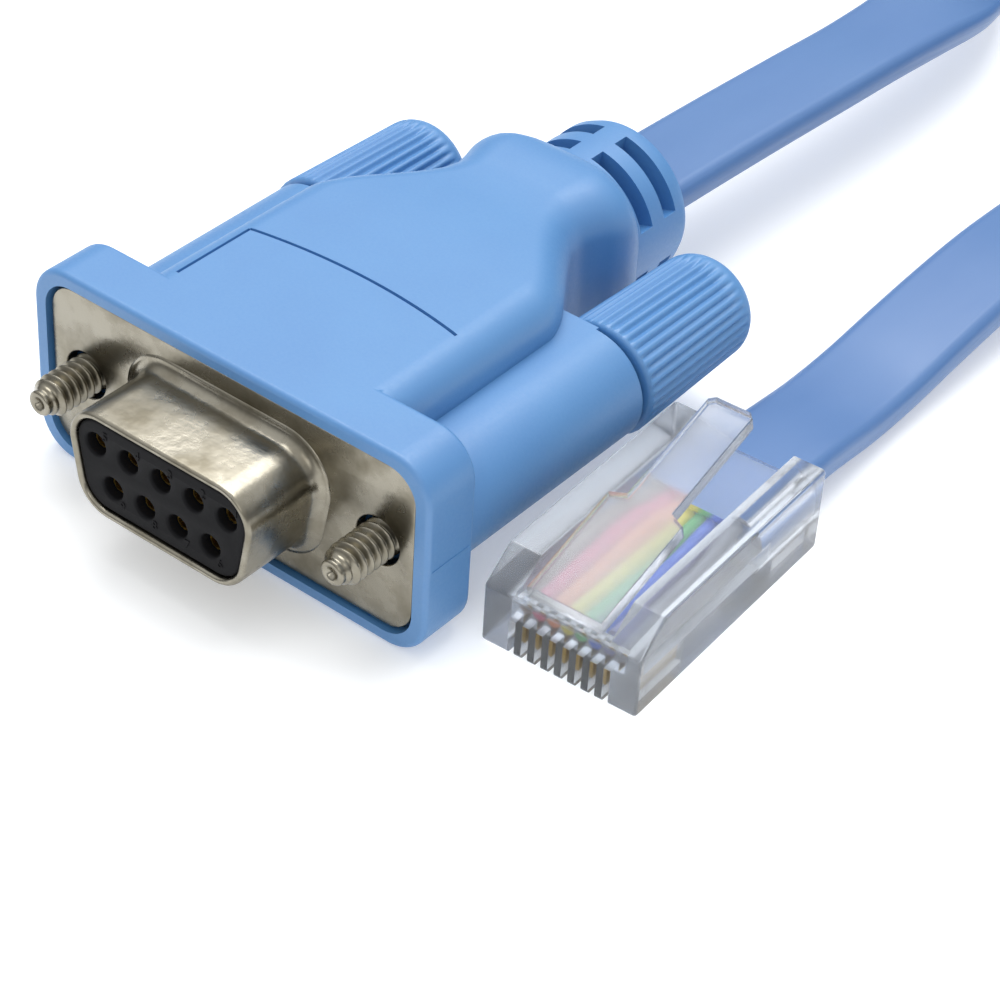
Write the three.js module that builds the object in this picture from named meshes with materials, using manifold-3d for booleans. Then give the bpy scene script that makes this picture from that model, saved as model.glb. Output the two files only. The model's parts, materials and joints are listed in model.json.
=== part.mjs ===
// Console cable: a nine-way serial connector in a moulded hood, a flat cable
// and a clear eight-way modular plug. Millimetres, +Z up, +Y towards the cable.
// The hood's own frame has Y = 0 at the front of its flange and Z = 0 on the mating axis.
import * as THREE from 'three';
import { mergeVertices } from 'three/addons/utils/BufferGeometryUtils.js';
import Module from 'manifold-3d';

const wasm = await Module();
wasm.setup();

// Clearances
const seatGap = 0.3;
const cutOver = 1;

// Nine-way connector
const screwSpacing = 24.99;
const plateMargin = 2.91;
const plateHeight = 12.55;
const plateCorner = 2;
const plateThickness = 1;
const plateRecess = 0.3;
const plateHoleRadius = 1.75;
const shellWidth = 16.33;
const shellHeight = 7.9;
const shellCorner = 2.6;
const shellWall = 0.5;
const shellReach = 6;
const shellSlant = 10;
const lipRound = 0.4;
const contactPitch = 2.77;
const rowSpacing = 2.84;
const longRow = 5;
const contactRadius = 0.65;
const contactBore = 0.5;
const contactClearance = 0.15;
const contactSetBack = 0.7;
const contactTail = 1.6;
const countersinkDepth = 0.4;
const insertSetBack = 0.25;
const insertBlockWidth = 18.6;
const insertBlockHeight = 10;
const insertBlockDepth = 6.5;

// Hood
const flangeSide = 1.345;
const flangeHeight = 15;
const flangeDepth = 4.5;
const flangeCorner = 3;
const bodyInset = 1.7;
const bodyEdge = 3;
const bodyBackAt = 19.6;
const neckWidth = 11.4;
const neckAt = 28.8;
const shoulderWidth = 13.4;
const shoulderAt = 33.2;
const shoulderRound = 3;
const housingRadius = 4.2;
const housingInset = 0.3;
const housingEnd = 22.6;
const screwBore = 1.9;
const knobClearance = 0.6;
const labelWidth = 17.5;
const labelBack = 11.8;
const labelBulge = 0.9;
const labelFront = 5.1;
const grooveWidth = 0.35;
const grooveDepth = 0.35;

// Strain relief
const bootRadius = 6;
const bootEnd = 42;
const bootRound = 0.9;
const bootCore = 3.9;
const bootBlend = 0.6;
const slotWidth = 1.35;
const slotSpacing = 2.7;
const firstSlot = 36.25;
const slotCount = 2;
const topBridge = 1.5;
const sideBridge = 3;

// Thumbscrews
const knobLength = 12.8;
const knobRadius = 4.2;
const knobTipRadius = 3.9;
const knobRound = 1.6;
const fluteCount = 36;
const fluteDepth = 0.2;
const fluteLand = 0.6;
const threadRadius = 1.42;
const threadDepth = 0.38;
const threadPitch = 0.635;
const threadLength = 6.35;
const screwReach = 4;
const dogPoint = 0.9;
const dogChamfer = 0.15;
const crestWidth = 0.1;
const shankRadius = 1.1;
const shankInKnob = 9;

// Flat cable
const cableWidth = 7.7;
const cableThickness = 2.4;
const cableStep = 9;

// Modular plug
const plugWidth = 11.68;
const plugLength = 21.46;
const plugHeight = 6.5;
const plugNoseHeight = 4.6;
const plugNoseRise = 2.6;
const channelWidth = 6.9;
const channelFloor = 4.75;
const cableInPlug = 2.8;
const plugEdge = 0.25;
const jacketInPlug = 6.2;
const mouthCorner = 0.8;
const wireCount = 8;
const wirePitch = 1.016;
const wireRadius = 0.475;
const wireRoom = 0.17;
const wireFront = 2.2;
const noseWall = 1.6;
const combWidth = 0.5;
const combLength = 6.4;
const bladeThickness = 0.3;
const bladeLength = 5;
const bladeFront = 0.9;
const bladeDrop = 0.6;
const clampWidth = 6;
const clampLength = 4;
const clampDepth = 0.9;
const plugX = 23.7;
const plugY = 4.6;
const plugTurn = 3;

// Latch
const latchWidth = 5.6;
const latchStep = 9.3;
const latchTaper = 0.4;
const tabWidth = 3.4;
const tabCorner = 0.4;
const latchLength = 19.4;
const latchThickness = 1.2;
const latchAngle = 14;
const latchAhead = 0.7;
const latchHingeY = 1.1;
const latchRise = 0.25;

// Hank, where the cable's unseen length is put away
const hankX = 10;
const hankNear = 131.7;
const hankRun = 60;
const hankTurns = 6;
const hankPitch = 2.75;
const hankInner = 7.5;
const tieThickness = 1;
const tieWidth = 7;

const plateWidth = screwSpacing + 2 * plateMargin;
const flangeWidth = plateWidth + 2 * flangeSide;
const screwX = screwSpacing / 2;
const housingX = screwX - housingInset;
const bodyHalf = screwX - bodyInset;
const hoodMiddle = (bootEnd - shellReach) / 2;
const halfHood = flangeHeight / 2;
const plateFront = plateRecess;
const plateBack = plateFront + plateThickness;
const insertFront = insertSetBack - shellReach;
const blockFront = plateBack + seatGap;
const blockBack = blockFront + insertBlockDepth;
const knobFront = housingEnd + seatGap;
const knobEnd = knobFront + knobLength;
const hankRadius = hankInner + hankTurns * hankPitch;
const hankBottom = tieThickness + seatGap;
const hankTop = hankBottom + cableWidth;
const overHank = hankTop + seatGap + cableThickness / 2;
const onEdge = hankBottom + cableWidth / 2;

// Points of the cable's two free stretches in the row's frame, each with the turn
// of its width from flat, in degrees
const hoodStretch = [
  [0, bootEnd + seatGap - hoodMiddle, halfHood, 0],
  [0.2, 30, 7.5, 0],
  [0.6, 38, 7.5, 0],
  [1.0, 46, 7.4, 0],
  [1.3, 54, 7.2, 0],
  [1.3, 61, 6.9, 8],
  [0.8, 68, 6.4, 25],
  [-0.6, 74, 5.9, 45],
  [-2.8, 80, 5.4, 65],
  [-5.7, 86, 5.2, 80],
  [-8.9, 92, onEdge, 88],
  [-11.3, 97, onEdge, 90],
  [-12.6, 101.6, onEdge, 90],
];
const plugStretch = [
  [...plugPoint(plugLength - jacketInPlug), 0],
  [...plugPoint(plugLength - jacketInPlug / 2), 0],
  [...plugPoint(plugLength), 0],
  [22.35, 13, 2.6, 0],
  [22.1, 19, 1.9, 0],
  [22.0, 24, 1.9, 0],
  [22.0, 29.5, 2.5, 0],
  [22.0, 35, 3.0, 0],
  [22.0, 41, 3.3, 0],
  [22.0, 47.5, 3.1, 0],
  [22.0, 54, 2.6, 0],
  [22.0, 60, 2.6, 0],
  [21.7, 66, 3.5, 0],
  [21.2, 72, 5.2, 0],
  [20.5, 79, 7.6, 0],
  [19.6, 86, 9.8, 0],
  [18.6, 93, overHank, 0],
  [17.2, 102, overHank, 0],
  [15.6, 112, overHank, 0],
  [14.2, 121, overHank, 0],
];

function plugPoint(along) {
  const turn = THREE.MathUtils.degToRad(plugTurn);
  return [
    plugX - along * Math.sin(turn),
    plugY - hoodMiddle + along * Math.cos(turn),
    cableInPlug,
  ];
}

function material(color, roughness, metalness = 0, opacity = 1) {
  return new THREE.MeshStandardMaterial({
    color, roughness, metalness, opacity, transparent: opacity < 1,
  });
}

// A closed geometry as a solid that can be joined and cut
function solid(geometry) {
  const bare = geometry.clone();
  bare.deleteAttribute('normal');
  bare.deleteAttribute('uv');
  const merged = mergeVertices(bare, 1e-4);
  const corners = [];
  const index = merged.index.array;
  for (let i = 0; i < index.length; i += 3) {
    const [a, b, c] = [index[i], index[i + 1], index[i + 2]];
    if (a !== b && b !== c && c !== a) corners.push(a, b, c);
  }
  return new wasm.Manifold(new wasm.Mesh({
    numProp: 3,
    vertProperties: new Float32Array(merged.attributes.position.array),
    triVerts: new Uint32Array(corners),
  }));
}

function geometryOf(manifold) {
  const mesh = manifold.getMesh();
  const geometry = new THREE.BufferGeometry();
  geometry.setAttribute('position', new THREE.BufferAttribute(mesh.vertProperties, 3));
  geometry.setIndex(new THREE.BufferAttribute(mesh.triVerts, 1));
  geometry.computeVertexNormals();
  return geometry;
}

function meshOf(name, manifold, look) {
  const mesh = new THREE.Mesh(geometryOf(manifold), look);
  mesh.name = name;
  return mesh;
}

// Polygon with each corner rounded
function roundedOutline(corners, radius) {
  const shape = new THREE.Shape();
  const points = corners.map(([x, y]) => new THREE.Vector2(x, y));
  points.forEach((corner, i) => {
    const before = points[(i + points.length - 1) % points.length];
    const after = points[(i + 1) % points.length];
    const toBefore = before.clone().sub(corner).normalize();
    const toAfter = after.clone().sub(corner).normalize();
    const half = Math.acos(THREE.MathUtils.clamp(toBefore.dot(toAfter), -1, 1)) / 2;
    const reach = radius / Math.tan(half);
    const start = corner.clone().addScaledVector(toBefore, reach);
    const end = corner.clone().addScaledVector(toAfter, reach);
    if (i === 0) shape.moveTo(start.x, start.y);
    else shape.lineTo(start.x, start.y);
    shape.quadraticCurveTo(corner.x, corner.y, end.x, end.y);
  });
  shape.closePath();
  return shape;
}

function rectangle(width, height, x = 0, y = 0) {
  const [w, h] = [width / 2, height / 2];
  return [[x - w, y - h], [x + w, y - h], [x + w, y + h], [x - w, y + h]];
}

function circle(radius, x = 0, y = 0) {
  const shape = new THREE.Shape();
  shape.absarc(x, y, radius, 0, 2 * Math.PI);
  return shape;
}

const axisX = new THREE.Vector3(1, 0, 0);
const axisY = new THREE.Vector3(0, 1, 0);
const axisZ = new THREE.Vector3(0, 0, 1);

// Prisms: an outline in X and Z drawn out along Y, in Y and Z along X, in X and Y along Z
function prismY(shape, from, to, segments = 6) {
  const geometry = new THREE.ExtrudeGeometry(shape, {
    depth: to - from, bevelEnabled: false, curveSegments: segments,
  });
  geometry.applyMatrix4(new THREE.Matrix4().makeBasis(axisX, axisZ, axisY.clone().negate()));
  geometry.translate(0, to, 0);
  return solid(geometry);
}

function prismX(shape, from, to, segments = 6) {
  const geometry = new THREE.ExtrudeGeometry(shape, {
    depth: to - from, bevelEnabled: false, curveSegments: segments,
  });
  geometry.applyMatrix4(new THREE.Matrix4().makeBasis(axisY, axisZ, axisX));
  geometry.translate(from, 0, 0);
  return solid(geometry);
}

function prismZ(shape, from, to, segments = 6) {
  const geometry = new THREE.ExtrudeGeometry(shape, {
    depth: to - from, bevelEnabled: false, curveSegments: segments,
  });
  geometry.translate(0, 0, from);
  return solid(geometry);
}

function box(size, centre) {
  const geometry = new THREE.BoxGeometry(...size);
  geometry.translate(...centre);
  return solid(geometry);
}

// Round piece about a line along Y; the profile is radius and Y, from its front end
function turned(profile, segments, x = 0, z = 0) {
  const geometry = new THREE.LatheGeometry(
    profile.map(([r, y]) => new THREE.Vector2(r, y)), segments,
  );
  geometry.translate(x, 0, z);
  return solid(geometry);
}

// The connector's D outline, its wide side up
function dOutline(width, height, corner) {
  const lean = height * Math.tan(THREE.MathUtils.degToRad(shellSlant));
  return roundedOutline([
    [lean - width / 2, -height / 2], [width / 2 - lean, -height / 2],
    [width / 2, height / 2], [-width / 2, height / 2],
  ], corner);
}

const shellInnerWidth = shellWidth - 2 * shellWall;
const shellInnerHeight = shellHeight - 2 * shellWall;
const insertWidth = shellInnerWidth - 2 * seatGap;
const insertHeight = shellInnerHeight - 2 * seatGap;

// Nine contact places: the long row on top, the short row below it
function contactPlaces() {
  const places = [];
  [longRow, longRow - 1].forEach((count, row) => {
    for (let i = 0; i < count; i++) {
      places.push([(i - (count - 1) / 2) * contactPitch, rowSpacing * (0.5 - row)]);
    }
  });
  return places;
}

function hood() {
  const flange = prismY(
    roundedOutline(rectangle(flangeWidth, flangeHeight), flangeCorner), 0, flangeDepth,
  );
  const [neck, shoulder] = [neckWidth / 2, shoulderWidth / 2];
  const boss = bootRadius - bootBlend;
  const right = [
    [bodyHalf, flangeDepth - seatGap], [bodyHalf, bodyBackAt], [neck, neckAt],
    [shoulder, shoulderAt], [boss, firstSlot - seatGap],
  ];
  const left = right.map(([x, y]) => [-x, y]).reverse();
  const plan = roundedOutline([...right, ...left], bodyEdge / 2);
  const side = roundedOutline([
    [0, -halfHood], [shoulderAt, -halfHood], [firstSlot - seatGap, -boss],
    [firstSlot - seatGap, boss], [shoulderAt, halfHood], [0, halfHood],
  ], bodyEdge / 2);
  const section = roundedOutline(rectangle(2 * bodyHalf, flangeHeight), bodyEdge);
  const body = prismZ(plan, -halfHood, halfHood)
    .intersect(prismX(side, -bodyHalf, bodyHalf))
    .intersect(prismY(section, 0, bootEnd));

  const boot = turned([
    [0, shoulderAt - shoulderRound], [bootRadius - bootRound, shoulderAt - shoulderRound],
    [bootRadius, shoulderAt], [bootRadius, bootEnd - bootRound],
    [bootRadius - bootRound * (1 - Math.SQRT1_2), bootEnd - bootRound * (1 - Math.SQRT1_2)],
    [bootRadius - bootRound, bootEnd], [0, bootEnd],
  ], 40);
  const shelf = box(
    [2 * housingX, housingEnd - seatGap, 2 * housingRadius],
    [0, (housingEnd + seatGap) / 2, 0],
  );
  let whole = flange.add(body).add(boot).add(shelf);
  for (const x of [-housingX, housingX]) {
    whole = whole.add(prismY(circle(housingRadius, x), seatGap, housingEnd, 16));
  }

  const recess = prismY(roundedOutline(
    rectangle(plateWidth + 2 * seatGap, plateHeight + 2 * seatGap), plateCorner + seatGap,
  ), -cutOver, plateBack + seatGap);
  const pocket = box(
    [insertBlockWidth + 2 * seatGap, blockBack + contactTail + seatGap,
      insertBlockHeight + 2 * seatGap],
    [0, (blockBack + contactTail + seatGap) / 2, 0],
  );
  whole = whole.subtract(recess).subtract(pocket);
  for (const x of [-screwX, screwX]) {
    whole = whole.subtract(prismY(circle(screwBore, x), 0, housingEnd + cutOver, 10));
    whole = whole.subtract(prismY(circle(knobRadius + knobClearance, x), housingEnd, bootEnd, 16));
  }
  for (let i = 0; i < slotCount; i++) whole = whole.subtract(bootSlot(firstSlot + i * slotSpacing));
  return whole.subtract(labelGroove());
}

// One ring slot of the strain relief, broken by four bridges
function bootSlot(at) {
  const outside = bootRadius + cutOver;
  const ring = turned([
    [bootCore, at], [outside, at], [outside, at + slotWidth], [bootCore, at + slotWidth],
    [bootCore, at],
  ], 40);
  const middle = [0, at + slotWidth / 2, 0];
  return ring
    .subtract(box([topBridge, 2 * slotWidth, 3 * outside], middle))
    .subtract(box([3 * outside, 2 * slotWidth, sideBridge], middle));
}

// Outline of the label place: one side line and a bowed back line
function labelGroove() {
  const half = labelWidth / 2;
  const bow = (half * half + labelBulge * labelBulge) / (2 * labelBulge);
  const centreY = labelBack + labelBulge - bow;
  const spread = Math.asin(half / bow);
  const shape = new THREE.Shape();
  shape.absarc(0, centreY, bow + grooveWidth / 2, Math.PI / 2 - spread, Math.PI / 2 + spread);
  shape.absarc(0, centreY, bow - grooveWidth / 2, Math.PI / 2 + spread, Math.PI / 2 - spread, true);
  shape.closePath();
  const line = box(
    [grooveWidth, labelBack - labelFront, 2 * grooveDepth],
    [-half, (labelBack + labelFront) / 2, halfHood],
  );
  return prismZ(shape, halfHood - grooveDepth, halfHood + grooveDepth, 8).add(line);
}

function frontShell() {
  const plate = prismY(
    roundedOutline(rectangle(plateWidth, plateHeight), plateCorner), plateFront, plateBack,
  );
  const lip = new THREE.ExtrudeGeometry(dOutline(shellWidth, shellHeight, shellCorner), {
    depth: shellReach + plateFront, curveSegments: 6, bevelThickness: shellWall,
    bevelSize: lipRound, bevelOffset: -lipRound, bevelSegments: 2,
  });
  lip.applyMatrix4(new THREE.Matrix4().makeBasis(axisX, axisZ, axisY.clone().negate()));
  lip.translate(0, plateFront + shellWall, 0);
  let shell = plate.add(solid(lip));
  shell = shell.subtract(prismY(
    dOutline(shellInnerWidth, shellInnerHeight, shellCorner - shellWall),
    -shellReach - cutOver, plateBack + cutOver,
  ));
  for (const x of [-screwX, screwX]) {
    shell = shell.subtract(prismY(circle(plateHoleRadius, x), -cutOver, plateBack + cutOver, 12));
  }
  return shell;
}

function insert() {
  let whole = prismY(
    dOutline(insertWidth, insertHeight, shellCorner - shellWall - seatGap),
    insertFront, blockFront + seatGap,
  ).add(box(
    [insertBlockWidth, insertBlockDepth, insertBlockHeight],
    [0, (blockFront + blockBack) / 2, 0],
  ));
  const hole = contactRadius + contactClearance;
  for (const [x, z] of contactPlaces()) {
    whole = whole.subtract(turned([
      [0, insertFront - cutOver], [hole + countersinkDepth + cutOver, insertFront - cutOver],
      [hole, insertFront + countersinkDepth], [hole, blockBack + cutOver], [0, blockBack + cutOver],
    ], 12, x, z));
  }
  return whole;
}

// Female contact: a tube, open at both ends
function socketContact(x, z) {
  const front = insertFront + contactSetBack;
  const back = blockBack + contactTail;
  return turned([
    [contactBore, front], [contactRadius, front], [contactRadius, back], [contactBore, back],
    [contactBore, front],
  ], 10, x, z);
}

function knob() {
  const pitch = 2 * Math.PI / fluteCount;
  const outline = [];
  for (let i = 0; i < fluteCount; i++) {
    for (const [share, depth] of [[-fluteLand / 2, 0], [fluteLand / 2, 0], [0.5, fluteDepth]]) {
      const r = knobRadius - depth;
      const angle = (i + share) * pitch;
      outline.push(new THREE.Vector2(r * Math.cos(angle), r * Math.sin(angle)));
    }
  }
  const fluted = new THREE.ExtrudeGeometry(new THREE.Shape(outline), {
    depth: knobLength, bevelEnabled: false,
  });
  const position = fluted.attributes.position;
  for (let i = 0; i < position.count; i++) {
    const share = position.getZ(i) / knobLength;
    const scale = THREE.MathUtils.lerp(knobRadius, knobTipRadius, share) / knobRadius;
    position.setXY(i, position.getX(i) * scale, position.getY(i) * scale);
  }
  fluted.applyMatrix4(new THREE.Matrix4().makeBasis(axisX, axisZ.clone().negate(), axisY));
  fluted.translate(0, knobFront, 0);
  const rounding = [];
  for (let i = 0; i <= 3; i++) {
    const angle = i * Math.PI / 6;
    rounding.push([
      knobTipRadius - knobRound + knobRound * Math.cos(angle),
      knobEnd - knobRound + knobRound * Math.sin(angle),
    ]);
  }
  const envelope = turned([
    [0, knobFront], [knobRadius - fluteDepth, knobFront], [knobRadius, knobFront + fluteDepth],
    ...rounding, [0, knobEnd],
  ], fluteCount);
  const bore = turned([
    [0, knobFront - cutOver], [shankRadius + seatGap, knobFront - cutOver],
    [shankRadius + seatGap, knobFront + shankInKnob + seatGap],
    [0, knobFront + shankInKnob + seatGap],
  ], 16);
  return solid(fluted).intersect(envelope).subtract(bore);
}

// Screw with ring threads: dog point, thread and plain shank
function screw() {
  const root = threadRadius - threadDepth;
  const profile = [
    [0, -screwReach], [root - dogChamfer, -screwReach], [root, dogPoint - screwReach],
  ];
  const turns = Math.round((threadLength - dogPoint) / threadPitch);
  for (let i = 0; i < turns; i++) {
    const at = dogPoint - screwReach + i * threadPitch;
    const crest = at + (threadPitch - crestWidth) / 2;
    profile.push([threadRadius, crest], [threadRadius, crest + crestWidth]);
    profile.push([root, at + threadPitch]);
  }
  profile.push([shankRadius, threadLength - screwReach + threadPitch]);
  profile.push([shankRadius, knobFront + shankInKnob], [0, knobFront + shankInKnob]);
  return turned(profile, 16);
}

// Centre line of the flat cable, whose frames carry the turn of its width
class FlatCablePath extends THREE.CatmullRomCurve3 {
  constructor(points) {
    super(points.map(([x, y, z]) => new THREE.Vector3(x, y, z)), false, 'centripetal');
    this.turns = new THREE.CatmullRomCurve3(
      points.map(([, , , turn], i) => new THREE.Vector3(i, turn, 0)),
    );
  }

  computeFrenetFrames(segments) {
    const frames = { tangents: [], normals: [], binormals: [] };
    for (let i = 0; i <= segments; i++) {
      const t = this.getUtoTmapping(i / segments);
      const turn = THREE.MathUtils.degToRad(this.turns.getPoint(t).y);
      const tangent = this.getTangent(t);
      const across = new THREE.Vector3().crossVectors(tangent, axisZ).normalize();
      const width = across.applyAxisAngle(tangent, turn);
      frames.tangents.push(tangent);
      frames.normals.push(width);
      frames.binormals.push(new THREE.Vector3().crossVectors(tangent, width));
    }
    return frames;
  }
}

function cableSection() {
  const half = cableThickness / 2;
  const flat = cableWidth / 2 - half;
  const points = [];
  for (const side of [1, -1]) {
    for (let i = 0; i <= 4; i++) {
      const angle = (i / 4 - 0.5) * Math.PI;
      points.push(new THREE.Vector2(
        side * (flat + half * Math.cos(angle)), side * half * Math.sin(angle),
      ));
    }
  }
  return new THREE.Shape(points);
}

function cableTube(points) {
  const path = new FlatCablePath(points);
  return solid(new THREE.ExtrudeGeometry(cableSection(), {
    steps: Math.round(path.getLength() / cableStep), extrudePath: path, bevelEnabled: false,
  }));
}

// Outline of the hank seen from above: straight sides and half-round ends
function hankOutline(radius) {
  const shape = new THREE.Shape();
  shape.absarc(hankX, hankNear + hankRun - hoodMiddle, radius, 0, Math.PI);
  shape.absarc(hankX, hankNear - hoodMiddle, radius, Math.PI, 2 * Math.PI);
  shape.closePath();
  return shape;
}

function hank() {
  return prismZ(hankOutline(hankRadius), hankBottom, hankTop, 16)
    .subtract(prismZ(hankOutline(hankInner), hankBottom - cutOver, hankTop + cutOver, 12));
}

// Strap round the middle of the hank
function hankTie() {
  const width = 2 * (hankRadius + seatGap + tieThickness);
  const height = hankTop + seatGap + tieThickness;
  const middle = hankNear + hankRun / 2 - hoodMiddle;
  const outside = box([width, tieWidth, height], [hankX, middle, height / 2]);
  return outside.subtract(box(
    [width - 2 * tieThickness, tieWidth + cutOver, height - 2 * tieThickness],
    [hankX, middle, height / 2],
  ));
}

function wireX(i) {
  return (i - (wireCount - 1) / 2) * wirePitch;
}

function plugBody() {
  const profile = roundedOutline([
    [0, 0], [plugLength, 0], [plugLength, plugHeight],
    [plugNoseRise, plugHeight], [0, plugNoseHeight],
  ], plugEdge);
  const wireTop = cableInPlug + wireRadius + wireRoom;
  const wireBottom = cableInPlug - wireRadius - wireRoom;
  const chamberWidth = wireCount * wirePitch + 2 * wireRoom;
  const chamberBack = plugLength - jacketInPlug - seatGap;
  let whole = prismX(profile, -plugWidth / 2, plugWidth / 2, 2);
  whole = whole.subtract(box(
    [channelWidth, plugLength + 2 * cutOver, 2 * cutOver + plugHeight - channelFloor],
    [0, plugLength / 2, channelFloor + (2 * cutOver + plugHeight - channelFloor) / 2],
  ));
  whole = whole.subtract(box(
    [chamberWidth, chamberBack - noseWall + cutOver, wireTop - wireBottom],
    [0, (chamberBack + noseWall + cutOver) / 2, cableInPlug],
  ));
  whole = whole.subtract(prismY(roundedOutline(
    rectangle(cableWidth + 2 * seatGap, cableThickness + 2 * seatGap, 0, cableInPlug), mouthCorner,
  ), chamberBack, plugLength + cutOver, 3));
  whole = whole.subtract(box(
    [clampWidth, clampLength, 2 * clampDepth],
    [0, plugLength - jacketInPlug + clampLength, 0],
  ));
  for (let i = 0; i < wireCount; i++) {
    whole = whole.subtract(box(
      [combWidth, combLength + cutOver, cableInPlug + cutOver],
      [wireX(i), (combLength - cutOver) / 2, (cableInPlug - cutOver) / 2],
    ));
  }
  return whole;
}

function blade(i) {
  const top = cableInPlug - wireRadius - seatGap;
  return box(
    [bladeThickness, bladeLength, top - bladeDrop],
    [wireX(i), bladeFront + bladeLength / 2, (top + bladeDrop) / 2],
  );
}

function conductor(i) {
  return prismY(
    circle(wireRadius, wireX(i), cableInPlug), wireFront, plugLength - jacketInPlug - seatGap, 4,
  );
}

// Latch about its hinge line: a wide root, then a narrow finger tab
function latch() {
  const [root, tab] = [latchWidth / 2, tabWidth / 2];
  const end = latchLength - latchHingeY;
  const step = latchStep - latchHingeY;
  const shape = new THREE.Shape();
  shape.moveTo(-root, -latchAhead);
  shape.lineTo(root, -latchAhead);
  shape.lineTo(root, step);
  shape.lineTo(tab, step + latchTaper);
  shape.lineTo(tab, end - tabCorner);
  shape.lineTo(tab - tabCorner, end);
  shape.lineTo(tabCorner - tab, end);
  shape.lineTo(-tab, end - tabCorner);
  shape.lineTo(-tab, step + latchTaper);
  shape.lineTo(-root, step);
  shape.closePath();
  return prismZ(shape, 0, latchThickness);
}

const mouldedVinyl = material('#7fabe0', 0.55);
const nickel = material('#b4b0a4', 0.35, 1);
const blackInsert = material('#2f2f36', 0.55);
const gold = material('#c9a24a', 0.35, 1);
const jacket = material('#7da6e2', 0.5);
const clearPlastic = material('#d9dde0', 0.12, 0, 0.35);
const strap = material('#2b2b2d', 0.8);
const wireColors = [
  '#8a6f5c', '#d8556f', '#e8894a', '#e3cf3a', '#4fae5a', '#3f66c9', '#7d7a99', '#8b8b90',
];

const object = new THREE.Group();

const hoodGroup = new THREE.Group();
hoodGroup.position.set(0, -hoodMiddle, halfHood);
object.add(hoodGroup);
hoodGroup.add(meshOf('hood', hood(), mouldedVinyl));
hoodGroup.add(meshOf('front_shell', frontShell(), nickel));
hoodGroup.add(meshOf('insert', insert(), blackInsert));
contactPlaces().forEach(([x, z], i) => {
  hoodGroup.add(meshOf(`socket_contact_${i + 1}`, socketContact(x, z), gold.clone()));
});
for (const [side, x] of [['left', -screwX], ['right', screwX]]) {
  const thumbscrew = new THREE.Group();
  thumbscrew.position.set(x, 0, 0);
  thumbscrew.add(meshOf(`knob_${side}`, knob(), mouldedVinyl.clone()));
  thumbscrew.add(meshOf(`screw_${side}`, screw(), nickel.clone()));
  hoodGroup.add(thumbscrew);
}

const plugGroup = new THREE.Group();
plugGroup.position.set(plugX, plugY - hoodMiddle, 0);
plugGroup.rotation.z = THREE.MathUtils.degToRad(plugTurn);
object.add(plugGroup);
plugGroup.add(meshOf('plug_body', plugBody(), clearPlastic));
for (let i = 0; i < wireCount; i++) {
  plugGroup.add(meshOf(`contact_blade_${i + 1}`, blade(i), gold.clone()));
  plugGroup.add(meshOf(`conductor_${i + 1}`, conductor(i), material(wireColors[i], 0.5)));
}
const latchGroup = new THREE.Group();
latchGroup.position.set(0, latchHingeY, channelFloor + latchRise);
latchGroup.rotation.x = THREE.MathUtils.degToRad(latchAngle);
latchGroup.add(meshOf('latch', latch(), clearPlastic.clone()));
plugGroup.add(latchGroup);

object.add(meshOf('cable_from_hood', cableTube(hoodStretch), jacket));
object.add(meshOf('cable_to_plug', cableTube(plugStretch), jacket.clone()));
object.add(meshOf('cable_hank', hank(), jacket.clone()));
object.add(meshOf('hank_tie', hankTie(), strap));

export default object;
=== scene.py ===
import json
import math

import bmesh
import bpy
from bpy.props import FloatProperty, FloatVectorProperty, IntProperty, PointerProperty
from mathutils import Matrix, Vector, noise

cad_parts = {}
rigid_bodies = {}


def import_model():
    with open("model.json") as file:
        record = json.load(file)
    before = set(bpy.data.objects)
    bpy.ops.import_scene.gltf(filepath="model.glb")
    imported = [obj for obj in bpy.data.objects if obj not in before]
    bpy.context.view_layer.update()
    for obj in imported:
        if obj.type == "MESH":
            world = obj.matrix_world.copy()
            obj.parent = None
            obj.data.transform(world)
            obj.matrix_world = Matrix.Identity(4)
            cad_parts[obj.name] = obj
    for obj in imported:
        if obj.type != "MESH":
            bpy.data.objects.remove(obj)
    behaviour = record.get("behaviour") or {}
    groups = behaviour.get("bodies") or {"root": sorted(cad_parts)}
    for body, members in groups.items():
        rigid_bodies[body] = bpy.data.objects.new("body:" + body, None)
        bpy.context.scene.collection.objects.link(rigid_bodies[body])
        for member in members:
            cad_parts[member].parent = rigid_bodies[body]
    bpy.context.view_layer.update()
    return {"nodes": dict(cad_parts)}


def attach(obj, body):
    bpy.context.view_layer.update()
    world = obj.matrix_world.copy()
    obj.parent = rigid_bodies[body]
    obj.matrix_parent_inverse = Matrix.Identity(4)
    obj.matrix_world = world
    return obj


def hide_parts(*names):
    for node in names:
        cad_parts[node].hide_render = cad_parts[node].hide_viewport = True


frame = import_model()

bl_info = {
    "name": "Console Cable",
    "version": (1, 0, 0),
    "blender": (4, 5, 0),
    "location": "3D View > Sidebar > Console Cable",
    "description": "Dresses a console cable: hooded D connector, flat cable and modular plug",
    "category": "Object",
}

# Shapes are made in millimetres and set down in the row's frame, in metres, by these matrices.
# The hood's own frame has Y = 0 at the flange's front and Z = 0 on the mating axis.
MM = 0.001
TRUNK = "connector_and_cable"
HOOD_MIDDLE = 18.0
HOOD_HALF = 7.5
IN_HOOD = Matrix.Translation((0, -HOOD_MIDDLE * MM, HOOD_HALF * MM)) @ Matrix.Scale(MM, 4)
IN_ROW = Matrix.Scale(MM, 4)

# Nine-way connector
SCREW_X = 12.495
PLATE = (30.81, 12.55)
PLATE_CORNER = 2.0
PLATE_FRONT = 0.3
PLATE_BACK = 1.3
SHELL = (16.33, 7.9)
SHELL_CORNER = 2.6
SHELL_WALL = 0.5
SHELL_REACH = 6.0
SHELL_SLANT = math.radians(10)
CONTACT_PITCH = 2.77
ROW_SPACING = 2.84
INSERT_FRONT = -5.75
INSERT_BACK = 8.1

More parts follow.
